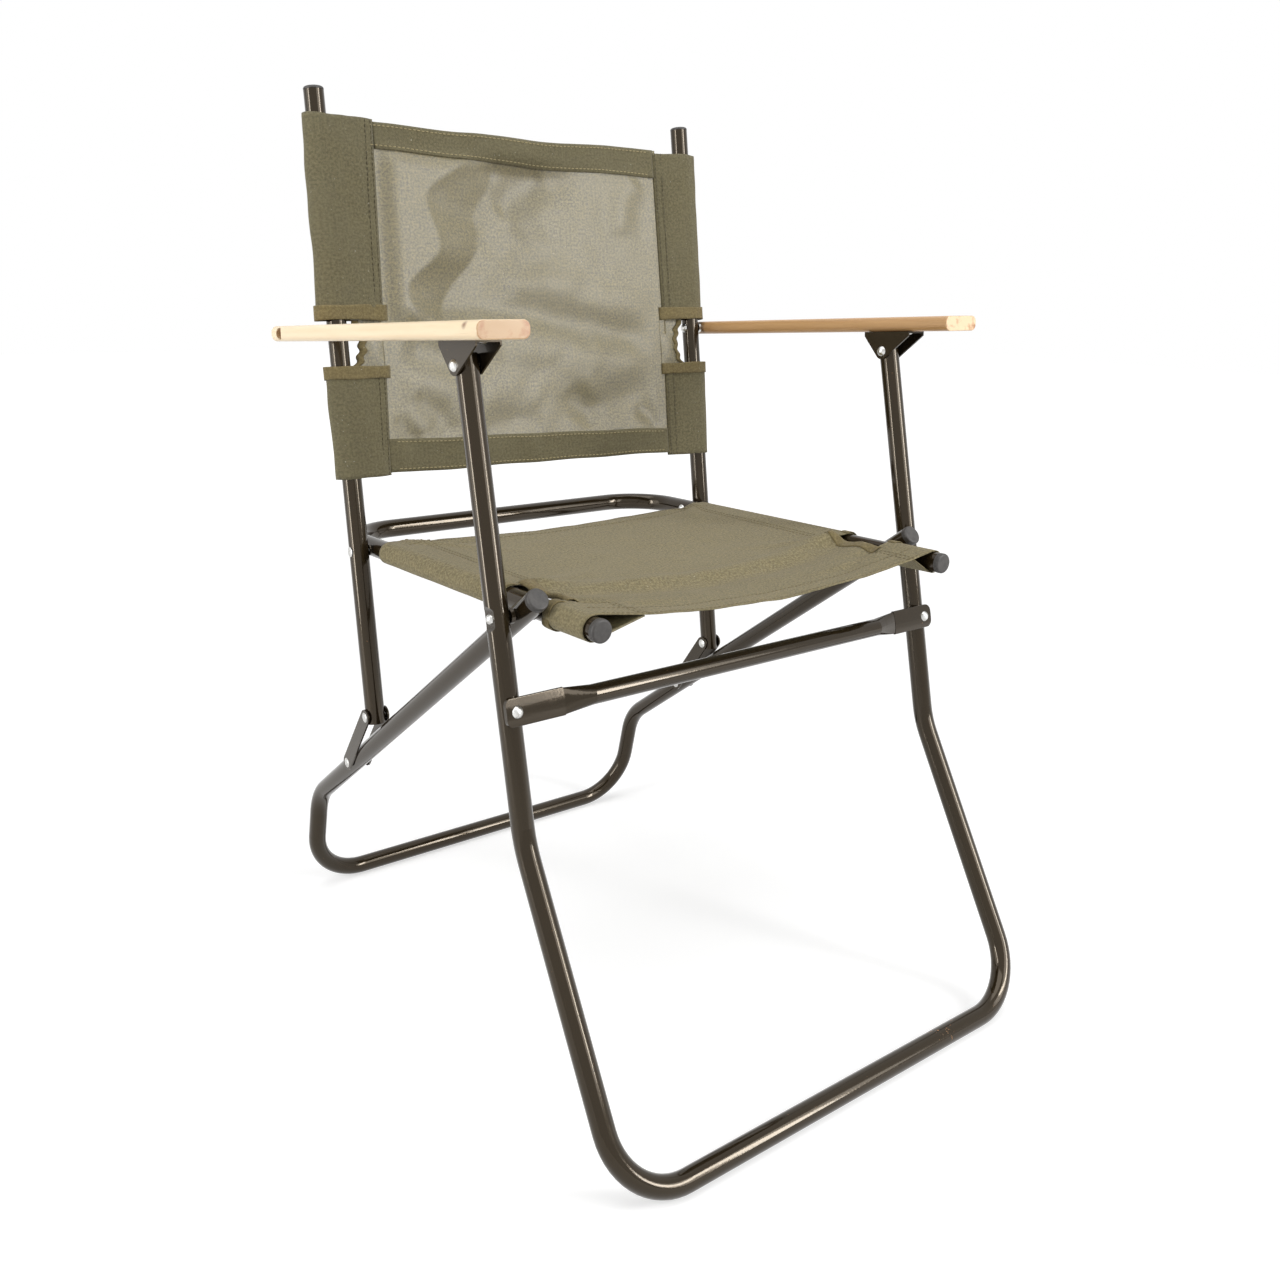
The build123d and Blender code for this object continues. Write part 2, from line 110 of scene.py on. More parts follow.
def mix_colors(tree, factor, first, second):
    values = {0: factor, 6: first, 7: second}
    return tree_node(tree, "ShaderNodeMix", values, data_type="RGBA").outputs[2]


def maths(tree, operation, first, second=0.5, clamp=False):
    values = {0: first, 1: second}
    return tree_node(tree, "ShaderNodeMath", values, operation=operation, use_clamp=clamp).outputs[0]


def scaled(tree, value, factor, added=None):
    """A value times a factor, plus a number where one is given."""
    product = maths(tree, "MULTIPLY", value, factor)
    return product if added is None else maths(tree, "ADD", product, added)


def noise_texture(tree, vector, scale, detail=3.0, rough=0.55):
    values = {"Scale": scale, "Detail": detail, "Roughness": rough, "Vector": vector}
    return tree_node(tree, "ShaderNodeTexNoise", values).outputs["Fac"]


def bump(tree, height, shader, strength, distance):
    values = {"Strength": strength, "Distance": distance, "Height": height}
    feed(tree, shader, {"Normal": tree_node(tree, "ShaderNodeBump", values).outputs["Normal"]})


def mapped(tree, vector, scale=(1, 1, 1), turn=(0, 0, 0), shift=(0, 0, 0)):
    values = {"Vector": vector, "Location": shift, "Rotation": turn, "Scale": scale}
    return tree_node(tree, "ShaderNodeMapping", values).outputs["Vector"]


def split(tree, vector):
    return tree_node(tree, "ShaderNodeSeparateXYZ", {0: vector}).outputs


# Shared shader groups


def shader_group(name, inputs, outputs):
    """Empty group with its inputs, as names and kinds, and its outputs, all plain numbers."""
    tree = bpy.data.node_groups.new(name, "ShaderNodeTree")
    for label, kind in inputs.items():
        tree.interface.new_socket(label, in_out="INPUT", socket_type=kind)
    for label in outputs:
        tree.interface.new_socket(label, in_out="OUTPUT", socket_type=NUMBER)
    return tree, tree_node(tree, "NodeGroupInput").outputs, tree_node(tree, "NodeGroupOutput")


def plain_weave_group():
    """Crossing threads of a plain weave: their height, their thick stretches and a speckled tint."""
    tree, inside, outside = shader_group(
        "plain_weave", {"Cloth Place": PLACE, "Threads": NUMBER}, ("Height", "Slub", "Heather")
    )
    cloth = inside["Cloth Place"]
    counted = tree_node(
        tree, "ShaderNodeVectorMath", {0: cloth, "Scale": inside["Threads"]}, operation="SCALE"
    )
    parts = split(tree, counted.outputs[0])
    across = maths(tree, "SINE", scaled(tree, parts["X"], math.pi))
    along = maths(tree, "SINE", scaled(tree, parts["Y"], math.pi))
    over = maths(tree, "GREATER_THAN", maths(tree, "MULTIPLY", across, along), 0.0)
    warp, weft = maths(tree, "ABSOLUTE", across), maths(tree, "ABSOLUTE", along)
    height = tree_node(tree, "ShaderNodeMix", {0: over, 2: warp, 3: weft}, data_type="FLOAT")
    warp_slub = noise_texture(tree, mapped(tree, cloth, (520, 34, 1)), 1.0, 2)
    weft_slub = noise_texture(tree, mapped(tree, cloth, (34, 520, 1)), 1.0, 2)
    slubs = scaled(tree, maths(tree, "ADD", warp_slub, weft_slub), 0.5)
    feed(tree, outside, {
        "Height": height.outputs[0],
        "Slub": ramp(tree, slubs, 0.36, 0.64),
        "Heather": ramp(tree, noise_texture(tree, cloth, 430.0, 4.0, 0.7), 0.41, 0.60),
    })
    return tree


def worn_enamel_group():
    """Small chips, rubbed patches and the fine ripple in a coat of enamel."""
    tree, inside, outside = shader_group(
        "enamel_wear", {"Place": PLACE, "Amount": NUMBER}, ("Chip", "Scuff", "Ripple")
    )
    place = inside["Place"]
    patches = maths(tree, "SUBTRACT", noise_texture(tree, place, 9.0, 2.0), 0.6, True)
    specks = noise_texture(tree, place, 260.0, 4.0, 0.6)
    chips = maths(tree, "ADD", specks, maths(tree, "MULTIPLY", patches, inside["Amount"]))
    feed(tree, outside, {
        "Chip": ramp(tree, chips, 0.74, 0.77),
        "Scuff": ramp(tree, noise_texture(tree, place, 60.0, 6.0, 0.7), 0.52, 0.78),
        "Ripple": noise_texture(tree, place, 420.0, 2.0),
    })
    return tree


WEAVE = plain_weave_group()
WEAR = worn_enamel_group()


# Finishes


def shaded(color, share):
    """The same colour, darker or lighter."""
    return tuple(c * share for c in color[:3]) + (1,)


def enamel(name, color, amount, roughness):
    """Dark gloss enamel with small chips and rubbed patches."""
    material, tree, shader = new_material(name)
    place = object_place(tree)
    wear = tree_node(tree, "ShaderNodeGroup", {"Place": place, "Amount": amount}, node_tree=WEAR).outputs
    drift = noise_texture(tree, place, 5.0, 2.0)
    painted = mix_colors(tree, drift, shaded(color, 0.72), shaded(color, 1.3))
    dull = scaled(tree, wear["Scuff"], 0.1, roughness)
    feed(tree, shader, {
        "Base Color": mix_colors(tree, wear["Chip"], painted, CHIP_BROWN),
        "Roughness": maths(tree, "ADD", dull, scaled(tree, wear["Chip"], 0.4), True),
        "Specular IOR Level": 0.38,
        "Specular Tint": (1.0, 0.82, 0.60, 1),
        "Coat Weight": 0.20,
        "Coat Roughness": 0.05,
    })
    relief = maths(tree, "SUBTRACT", scaled(tree, wear["Ripple"], 0.25), wear["Chip"])
    bump(tree, relief, shader, 0.18, 0.0006)
    return material


def zinc(name):
    """Bright plated steel, a little uneven."""
    material, tree, shader = new_material(name)
    place = object_place(tree)
    tone = noise_texture(tree, place, 320.0, 4.0)
    feed(tree, shader, {
        "Base Color": ramp(tree, tone, 0.3, 0.75, (0.42, 0.41, 0.39, 1), (0.80, 0.80, 0.78, 1)),
        "Metallic": 1.0,
        "Roughness": scaled(tree, noise_texture(tree, place, 700.0, 3.0), 0.3, 0.16),
    })
    bump(tree, noise_texture(tree, place, 900.0, 2.0), shader, 0.12, 0.0004)
    return material


def moulded_plug(name):
    """Dark moulded plastic, rubbed grey in places."""
    material, tree, shader = new_material(name)
    place = object_place(tree)
    tone = noise_texture(tree, place, 160.0, 5.0, 0.65)
    feed(tree, shader, {
        "Base Color": ramp(tree, tone, 0.3, 0.8, (0.022, 0.020, 0.018, 1), (0.064, 0.058, 0.053, 1)),
        "Roughness": scaled(tree, noise_texture(tree, place, 90.0, 3.0), 0.3, 0.36),
    })
    bump(tree, noise_texture(tree, place, 1500.0, 3.0), shader, 0.2, 0.0003)
    return material


def varnished_wood(name, pale, tan, end_pale, side):
    """Straight-grained pale wood under varnish, with blotched end grain."""
    material, tree, shader = new_material(name)
    place = object_place(tree)
    turned = mapped(tree, place, turn=(math.radians(3.4), 0, 0))
    grain = noise_texture(tree, mapped(tree, turned, (150, 4.5, 150)), 1.0, 5.0, 0.6)
    heart = mapped(tree, turned, (1, 0.16, 1), shift=(-side * 0.2, 0.0, -0.585))
    rings = tree_node(
        tree, "ShaderNodeTexWave",
        {"Scale": 46.0, "Distortion": 3.2, "Detail": 2.5, "Detail Scale": 1.4, "Vector": heart},
        wave_type="RINGS", rings_direction="Y",
    ).outputs["Fac"]
    streaks = maths(tree, "ADD", scaled(tree, grain, 0.8), scaled(tree, rings, 0.26))
    figure = ramp(tree, streaks, 0.12, 0.92, tan, pale)
    pores = ramp(tree, noise_texture(tree, mapped(tree, turned, (800, 20, 800)), 1.0, 3.0), 0.64, 0.74)
    long_face = mix_colors(tree, scaled(tree, pores, 0.3), figure, PORE_BROWN)
    blotch = noise_texture(tree, mapped(tree, place, (95, 95, 130)), 1.0, 5.0, 0.62)
    # The end grain turns darker towards both sides of the arm.
    from_middle = maths(tree, "SUBTRACT", split(tree, place)["X"], side * ARMREST_X)
    past_core = maths(tree, "SUBTRACT", maths(tree, "ABSOLUTE", from_middle), 0.011, True)
    end_shade = maths(tree, "ADD", scaled(tree, rings, 0.08), scaled(tree, blotch, 0.85, 0.1))
    end_tone = maths(tree, "SUBTRACT", end_shade, scaled(tree, past_core, 17.0))
    end_face = ramp(tree, end_tone, 0.30, 0.50, END_BROWN, end_pale)
    facing = split(tree, tree_node(tree, "ShaderNodeNewGeometry").outputs["True Normal"])
    at_end = ramp(tree, maths(tree, "ABSOLUTE", facing["Y"]), 0.55, 0.9)
    stained = mix_colors(tree, at_end, long_face, end_face)
    # A small knot near the front of the outer edge
    knot = (side * 0.2655, -0.141, 0.6264)
    from_knot = tree_node(tree, "ShaderNodeVectorMath", {0: place, 1: knot}, operation="DISTANCE")
    at_knot = ramp(tree, from_knot.outputs["Value"], 0.0006, 0.0017, WHITE, BLACK)
    feed(tree, shader, {
        "Base Color": mix_colors(tree, at_knot, stained, KNOT_BROWN),
        "Roughness": scaled(tree, grain, 0.2, 0.3),
        "Coat Weight": 0.3,
        "Coat Roughness": 0.18,
    })
    bump(tree, maths(tree, "ADD", grain, scaled(tree, pores, -0.5)), shader, 0.16, 0.0005)
    return material


def canvas(name, dark, light, worn, sheen, roughness, threads, mottled, gloss=0.3, coat=0.0):
    """Plain-woven cloth on the piece's own flat coordinates, with a smooth coating if coat isn't 0."""
    material, tree, shader = new_material(name)
    place = object_place(tree)
    flat = tree_node(tree, "ShaderNodeUVMap", uv_map="flat").outputs["UV"]
    counted = {"Cloth Place": flat, "Threads": threads}
    weave = tree_node(tree, "ShaderNodeGroup", counted, node_tree=WEAVE).outputs
    shade = maths(tree, "ADD", scaled(tree, weave["Slub"], 0.32), scaled(tree, weave["Heather"], 0.68))
    thread = mix_colors(tree, shade, dark, light)
    clouds = ramp(tree, noise_texture(tree, place, 14.0, 5.0, 0.62), 0.36, 0.72)
    faded = mix_colors(tree, scaled(tree, clouds, mottled), thread, worn)
    # Painted shade: the cloth is darkened where the weave is low, between the raised threads.
    painted_shade_in_hollows = maths(tree, "SUBTRACT", 1.0, scaled(tree, weave["Height"], 0.8), True)
    shadow = mix_colors(tree, scaled(tree, painted_shade_in_hollows, 0.4), faded, shaded(dark, 0.45))
    lint = ramp(tree, noise_texture(tree, place, 480.0, 2.0, 0.4), 0.745, 0.775)
    feed(tree, shader, {
        "Base Color": mix_colors(tree, scaled(tree, lint, 0.5), shadow, LINT_GREY),
        "Roughness": scaled(tree, weave["Slub"], 0.2, roughness),
        "Sheen Weight": sheen,
        "Sheen Roughness": 0.5,
        "Specular IOR Level": gloss,
    })
    if coat:
        feed(tree, shader, {
            "Coat Weight": scaled(tree, weave["Heather"], COAT_FLECKS, coat - COAT_FLECKS / 2),
            "Coat Roughness": 0.49,
            "Coat IOR": 1.62,
        })
    relief = maths(tree, "ADD", weave["Height"], scaled(tree, weave["Slub"], 0.8))
    bump(tree, relief, shader, 0.45 - 0.12 * coat, 0.0004)
    return material


def sewing_thread(name, dark, light):
    """Twisted thread, with its twist as fine noise."""
    material, tree, shader = new_material(name)
    place = object_place(tree)
    twist = noise_texture(tree, place, 900.0, 3.0)
    feed(tree, shader, {"Base Color": mix_colors(tree, twist, dark, light), "Roughness": 0.8})
    bump(tree, noise_texture(tree, place, 2600.0, 2.0), shader, 0.3, 0.0003)
    return material


TUBE_ENAMEL = enamel("tube_enamel", (0.015, 0.010, 0.0047, 1), 0.9, 0.10)
SHEET_ENAMEL = enamel("sheet_enamel", (0.023, 0.017, 0.010, 1), 0.6, 0.2)
ZINC = zinc("zinc_rivet")
PLUG = moulded_plug("moulded_plug")
# The two arms are one wood in two copies with painted light. The left arm's long faces are lighter for
# the light falling on them, and its end face is darker. The right arm's long faces are darker and more
# orange as painted shade, and its end face is lighter as painted light.
WOOD_PAINTED_LIGHT = {
    LEFT: varnished_wood(
        "varnished_wood_left_painted_light", pale=(0.84, 0.71, 0.50, 1), tan=(0.72, 0.53, 0.31, 1),
        end_pale=(0.57, 0.37, 0.195, 1), side=LEFT,
    ),
    RIGHT: varnished_wood(
        "varnished_wood_right_painted_light", pale=(0.60, 0.365, 0.17, 1), tan=(0.40, 0.215, 0.08, 1),
        end_pale=(0.86, 0.64, 0.40, 1), side=RIGHT,
    ),
}
OLIVE_BACK = canvas(
    "olive_canvas_back", dark=(0.090, 0.077, 0.039, 1), light=(0.218, 0.190, 0.102, 1),
    worn=(0.174, 0.157, 0.094, 1), sheen=0.1, roughness=0.72, threads=1100.0, mottled=0.4,
)
# The seat's outer face is the same olive canvas as the back's sleeves and hems, painted lighter as
# painted light from above.
OLIVE_SEAT_PAINTED_LIT = canvas(
    "olive_canvas_seat_painted_lit", dark=(0.107, 0.088, 0.041, 1), light=(0.343, 0.287, 0.152, 1),
    worn=(0.251, 0.213, 0.121, 1), sheen=0.1, roughness=0.72, threads=1100.0, mottled=0.4,
)
COATED = canvas(
    "coated_canvas", dark=(0.054, 0.043, 0.014, 1), light=(0.280, 0.229, 0.088, 1),
    worn=(0.172, 0.143, 0.060, 1), sheen=0.04, roughness=0.34, threads=1000.0, mottled=0.45,
    gloss=0.75, coat=0.62,
)
TAPE = canvas(
    "binding_tape", dark=(0.122, 0.093, 0.038, 1), light=(0.272, 0.215, 0.096, 1),
    worn=(0.224, 0.181, 0.092, 1), sheen=0.1, roughness=0.75, threads=1500.0, mottled=0.35,
)
THREAD = sewing_thread("sewing_thread", (0.24, 0.19, 0.085, 1), (0.50, 0.42, 0.23, 1))
SEAT_THREAD = sewing_thread("seat_sewing_thread", (0.105, 0.086, 0.044, 1), (0.23, 0.19, 0.104, 1))
DARK_THREAD = sewing_thread("dark_sewing_thread", (0.05, 0.042, 0.024, 1), (0.11, 0.093, 0.052, 1))

NODE_FINISH = {
    "arm_bracket": SHEET_ENAMEL,
    "link_strips": SHEET_ENAMEL,
    "rear_leg_caps": PLUG,
    "seat_rail_caps": PLUG,
    "back_upright_caps": PLUG,
    "armrest_left": WOOD_PAINTED_LIGHT[LEFT],
    "armrest_right": WOOD_PAINTED_LIGHT[RIGHT],
    "front_leg_frame": TUBE_ENAMEL,
    "front_brace": TUBE_ENAMEL,
    "rear_leg_frame": TUBE_ENAMEL,
    "seat_frame": TUBE_ENAMEL,
    "back_upright_left": TUBE_ENAMEL,
    "back_upright_right": TUBE_ENAMEL,
    "seat_back_washers": SHEET_ENAMEL,
    "main_pivot_washers": SHEET_ENAMEL,
}


def dress_nodes():
    """A finish for every carried-over piece: the one listed for its name, or bright zinc."""
    for name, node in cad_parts.items():
        finish = next((NODE_FINISH[key] for key in NODE_FINISH if name.startswith(key)), ZINC)
        node.data.materials.clear()
        node.data.materials.append(finish)


# Cloth helpers


def steps(low, high, spacing, marks=()):
    """Even steps between two values, with some values hit exactly."""
    edges = sorted({low, high, *[m for m in marks if low < m < high]})
    values = [edges[0]]
    for start, end in zip(edges, edges[1:]):
        count = max(1, round((end - start) / spacing))
        values += [start + (end - start) * i / count for i in range(1, count + 1)]
    return values


def limited(value):
    return min(1.0, max(0.0, value))


def smooth(value):
    """Soft step from 0 to 1."""
    value = limited(value)
    return value * value * (3 - 2 * value)


def bell(gap, wide):
    """Rounded ridge: 1 in its middle, and gone at about twice its half width."""
    return math.exp(-((gap / wide) ** 2))


def direction(start, end):
    length = math.dist(start, end)
    return tuple((b - a) / length for a, b in zip(start, end))


def side_of(x):
    return LEFT if x < 0 else RIGHT


def add_object(name, data):
    piece = bpy.data.objects.new(name, data)
    bpy.context.scene.collection.objects.link(piece)
    return piece


def cloth_grid(name, across, along, place, flat_place, kept=None, materials=(), thickness=CLOTH):
    """Sheet of cloth over a grid of flat coordinates, with its wall half on each side."""
    mesh = bpy.data.meshes.new(name)
    shape = bmesh.new()
    layer = shape.loops.layers.uv.new("flat")
    across, along = list(across), list(along)
    points = [[shape.verts.new(place(u, v)) for u in across] for v in along]
    for j in range(len(along) - 1):
        for i in range(len(across) - 1):
            mid = ((across[i] + across[i + 1]) / 2, (along[j] + along[j + 1]) / 2)
            if kept and not kept(*mid):
                continue
            corners = ((i, j), (i + 1, j), (i + 1, j + 1), (i, j + 1))
            face = shape.faces.new([points[b][a] for a, b in corners])
            face.smooth = True
            for loop, (a, b) in zip(face.loops, corners):
                loop[layer].uv = flat_place(across[a], along[b])
    bmesh.ops.delete(shape, geom=[v for v in shape.verts if not v.link_faces], context="VERTS")
    shape.to_mesh(mesh)
    shape.free()
    piece = add_object(name, mesh)
    for material in materials:
        mesh.materials.append(material)
    wall = piece.modifiers.new("cloth_wall", "SOLIDIFY")
    wall.thickness = thickness
    wall.offset = 0.0
    if len(materials) > 1:
        wall.material_offset = 1
        wall.material_offset_rim = 0
    return piece


def ripple(x, y, size, seed):
    """Smooth unevenness between -1 and 1."""
    return noise.noise(Vector((x / size, y / size, seed)))


def near_line(x, y, points):
    """Distance to a drawn line, and how far along it."""
    best, where = 1e9, 0.0
    for k, (a, b) in enumerate(zip(points, points[1:])):
        dx, dy = b[0] - a[0], b[1] - a[1]
        t = limited(((x - a[0]) * dx + (y - a[1]) * dy) / (dx * dx + dy * dy))
        gap = math.hypot(x - a[0] - t * dx, y - a[1] - t * dy)
        if gap < best:
            best, where = gap, (k + t) / (len(points) - 1)
    return best, where


# Stitches: a Geometry Nodes tree lays one thread loop at each step along drawn seam lines


def stitch_tree():
    """The tree, and the key of each of its inputs on a modifier."""
    tree = bpy.data.node_groups.new("stitch_row", "GeometryNodeTree")
    kinds = {
        "Seam": "NodeSocketGeometry", "Pitch": NUMBER, "Stitch Length": NUMBER, "Thread Radius": NUMBER,
        "Thread": "NodeSocketMaterial",
    }
    keys = {}
    for label, kind in kinds.items():
        keys[label] = tree.interface.new_socket(label, in_out="INPUT", socket_type=kind).identifier
    tree.interface.new_socket("Stitches", in_out="OUTPUT", socket_type="NodeSocketGeometry")
    inside = tree_node(tree, "NodeGroupInput").outputs
    outside = tree_node(tree, "NodeGroupOutput")
    curve = tree_node(tree, "GeometryNodeMeshToCurve", {"Mesh": inside["Seam"]}).outputs["Curve"]
    spaced = tree_node(
        tree, "GeometryNodeResampleCurve", {"Curve": curve, "Length": inside["Pitch"]}, mode="LENGTH"
    )
    tangent = tree_node(tree, "GeometryNodeInputTangent").outputs["Tangent"]
    turn = tree_node(tree, "FunctionNodeAlignRotationToVector", {"Vector": tangent}, axis="Z")
    loop = tree_node(tree, "GeometryNodeMeshUVSphere", {"Segments": 6, "Rings": 5, "Radius": 1.0})
    radius, half = inside["Thread Radius"], scaled(tree, inside["Stitch Length"], 0.5)
    size = tree_node(tree, "ShaderNodeCombineXYZ", {"X": radius, "Y": radius, "Z": half})
    laid = tree_node(tree, "GeometryNodeInstanceOnPoints", {
        "Points": spaced.outputs["Curve"],
        "Instance": loop.outputs["Mesh"],
        "Rotation": turn.outputs["Rotation"],
        "Scale": size.outputs["Vector"],
    })
    real = tree_node(tree, "GeometryNodeRealizeInstances", {"Geometry": laid.outputs["Instances"]})
    dyed = tree_node(tree, "GeometryNodeSetMaterial", {
        "Geometry": real.outputs["Geometry"], "Material": inside["Thread"],
    })
    feed(tree, outside, {"Stitches": dyed.outputs["Geometry"]})
    return tree, keys


STITCH_ROW, STITCH_KEY = stitch_tree()


def sew(name, seams, thread, pitch=0.0046, length=0.0034, radius=0.00046):
    """Stitches along seam lines, as one plain mesh."""
    drawn = bpy.data.meshes.new(name + "_lines")
    verts, edges = [], []
    for line in seams:
        start = len(verts)
        verts += [tuple(p) for p in line]
        edges += [(start + i, start + i + 1) for i in range(len(line) - 1)]
    drawn.from_pydata(verts, edges, [])
    guide = add_object(name + "_guide", drawn)
    row = guide.modifiers.new("stitch_row", "NODES")
    row.node_group = STITCH_ROW
    sizes = {"Pitch": pitch, "Stitch Length": length, "Thread Radius": radius, "Thread": thread}
    for label, value in sizes.items():
        row[STITCH_KEY[label]] = value
    bpy.context.view_layer.update()
    laid = guide.evaluated_get(bpy.context.evaluated_depsgraph_get())
    baked = bpy.data.meshes.new_from_object(laid)
    guide.modifiers.remove(row)
    bpy.data.objects.remove(guide)
    for polygon in baked.polygons:
        polygon.use_smooth = True
    return add_object(name, baked)


# Back cloth


BACK_UP = direction(UPRIGHT_FOOT, ARM_PIVOT)
BACK_LOW, BACK_HIGH = 0.221, 0.545
BACK_END = {"upper": BACK_HIGH, "lower": BACK_LOW}

# Each side's seam line as (height, distance from the middle): bottom, armrest gap and top
BACK_SEAM = {
    LEFT: [(0.221, 0.171), (0.367, 0.164), (0.545, 0.157)],
    RIGHT: [(0.221, 0.168), (0.367, 0.171), (0.545, 0.170)],
}
SLEEVE_ENDS = {
    LEFT: {"upper": (0.369, 0.5475), "lower": (0.2245, 0.3255)},
    RIGHT: {"upper": (0.367, 0.5415), "lower": (0.2185, 0.3180)},
}
# How far each sleeve stands off the outside of its tube, at its low and high end
SLEEVE_SLACK = {
    LEFT: {"upper": (0.0065, 0.0012), "lower": (0.0030, 0.0036)},
    RIGHT: {"upper": (0.0030, 0.0062), "lower": (0.0006, 0.0036)},
}
# Tape round a sleeve's end at the armrest gap: its width, overhang, lift and reach past the seam
TAPE_WIDE = {"upper": 0.0122, "lower": 0.0108}
TAPE_OVERHANG, TAPE_LIFT, TAPE_TUCK = 0.0008, 0.0012, 0.0042
# Stitch rows: distances from a sleeve's seam, and from a hem's sewn edge or, negative, from its fold
SEAM_ROWS = (0.0024, 0.0088)
HEM_ROWS = (0.0032, -0.0030)
# Cloth in the armrest gap: its seam and its bound edge from the middle, its flat width, and its tuck
GAP_SEAM, GAP_EDGE, GAP_WIDTH, GAP_TUCK = 0.166, 0.1985, 0.028, 0.006


def between(points, where):
    """Straight-line reading of a table of (place, value)."""
    if where <= points[0][0]:
        return points[0][1]
    for (a, va), (b, vb) in zip(points, points[1:]):
        if where <= b:
            return va + (vb - va) * (where - a) / (b - a)
    return points[-1][1]


def back_seam(side, height):
    return between(BACK_SEAM[side], height)


def on_back(x, height, forward):
    """Point on the back: sideways, up along the uprights, and forward of their axes."""
    return (
        x,
        UPRIGHT_FOOT[0] + height * BACK_UP[0] - forward * BACK_UP[1],
        UPRIGHT_FOOT[1] + height * BACK_UP[1] + forward * BACK_UP[0],
    )


# The long bent fold in the upper left: its left and right edge as (height, x)
FOLD_LEFT = [
    (0.371, -0.128), (0.385, -0.139), (0.403, -0.138), (0.418, -0.115), (0.433, -0.097),
    (0.465, -0.106), (0.485, -0.114), (0.500, -0.090), (0.521, -0.060),
]
FOLD_RIGHT = [
    (0.373, -0.098), (0.394, -0.088), (0.413, -0.070), (0.431, -0.050), (0.450, -0.045),
    (0.470, -0.052), (0.496, -0.030), (0.513, -0.026), (0.521, -0.024),
]

# How far the cloth left of the long fold stands forward, and how far it sinks right of it
FOLD_RAISED, FOLD_SUNK = 0.0068, 0.0118

# Softer folds: a drawn line (x, height), its half width and its depth
BACK_FOLDS = [
    ([(0.165, 0.345), (0.110, 0.354), (0.058, 0.363), (0.010, 0.373), (-0.050, 0.372)], 0.017, 0.0052),
    ([(0.036, 0.516), (0.007, 0.495), (-0.022, 0.469)], 0.015, 0.0028),
    ([(0.150, 0.515), (0.128, 0.490), (0.118, 0.449)], 0.014, -0.0026),
    ([(0.160, 0.294), (0.113, 0.282), (0.070, 0.277), (0.020, 0.286)], 0.018, 0.0036),
    ([(-0.164, 0.276), (-0.150, 0.258), (-0.136, 0.246)], 0.012, 0.0026),
    ([(-0.140, 0.300), (-0.112, 0.276), (-0.098, 0.252)], 0.013, 0.0024),
    ([(-0.071, 0.258), (-0.026, 0.269), (0.010, 0.262)], 0.014, 0.0024),
    ([(0.040, 0.300), (0.064, 0.272), (0.074, 0.252)], 0.013, 0.0020),
    ([(0.128, 0.275), (0.146, 0.262), (0.160, 0.246)], 0.010, 0.0028),
    ([(-0.150, 0.345), (-0.095, 0.332), (-0.030, 0.335)], 0.018, 0.0040),
]


def rolling(points, where):
    """The same reading, rounded off at the corners."""
    span = 0.004
    return sum(between(points, where + span * k) for k in (-2, -1, 0, 1, 2)) / 5


def back_depth(x, height):
    """How far the middle cloth hangs behind the uprights' axes."""
    half = back_seam(side_of(x), height)
    share = max(0.0, 1 - (x / half) ** 2)
    hold = smooth(share * 3.8)
    depth = 0.0035 * share
    left, right = rolling(FOLD_LEFT, height), rolling(FOLD_RIGHT, height)
    step = limited((x - left) / max(0.02, right - left))
    ends = smooth((height - 0.352) / 0.03) * smooth((0.530 - height) / 0.022)
    fade = 1 - smooth((x - right - 0.02) / 0.12)
    depth += ends * hold * (FOLD_SUNK * step * fade - FOLD_RAISED * (1 - step))
    for line, wide, deep in BACK_FOLDS:
        gap, where = near_line(x, height, line)
        ease = smooth(where / 0.2) * smooth((1 - where) / 0.2)
        depth += deep * ease * bell(gap, wide) * hold
        depth -= 0.4 * deep * ease * bell(gap - 1.9 * wide, wide) * hold
    depth += share * (0.0016 * ripple(x, height, 0.05, 1.7) + 0.0008 * ripple(x, height, 0.02, 4.1))
    return depth


def back_height(x, height):
    """Cloth height, with the small waves and tilt of the top and bottom edges."""
    if height > 0.45:
        wave = 0.0020 * ripple(x, 0.0, 0.07, 9.3) - 0.0016 * max(0.0, 1 - (x / 0.167) ** 2)
        return height + (wave + 0.0005) * smooth((height - 0.45) / 0.09)
    if height < 0.30:
        wave = 0.0018 * ripple(x, 0.0, 0.07, 5.1) + 0.0032 - 0.011 * x
        return height + wave * smooth((0.30 - height) / 0.07)
    return height


def make_back_panel():
    across = steps(-1.0, 1.0, 0.0165)
    along = steps(BACK_LOW, BACK_HIGH, 0.0027)

    def spot(u, s):
        return u * (back_seam(side_of(u), s) + 0.004)

    return cloth_grid(
        "back_panel", across, along,
        lambda u, s: on_back(spot(u, s), back_height(spot(u, s), s), -back_depth(spot(u, s), s)),
        lambda u, s: (spot(u, s), s), materials=(COATED, OLIVE_BACK),
    )


HEM_EDGE = {"upper": (0.5215, 0.5160), "lower": (0.2540, 0.2480)}


def hem_free_edge(part, x):
    """Height of a hem's sewn-down edge, which isn't quite level."""
    left, right = HEM_EDGE[part]
    return left + (right - left) * (x + 0.165) / 0.33


def hem_lift(x, s, part):
    """The hem lies on the middle cloth and stands up a little along its sewn edge."""
    gap = abs(s - hem_free_edge(part, x))
    return 0.0011 + 0.0008 * smooth(1 - gap / 0.010) * (0.5 + 0.5 * ripple(x, s, 0.03, 3.3))


def on_hem(x, s, part, above=0.0):
    return on_back(x, back_height(x, s), hem_lift(x, s, part) - back_depth(x, s) + above)


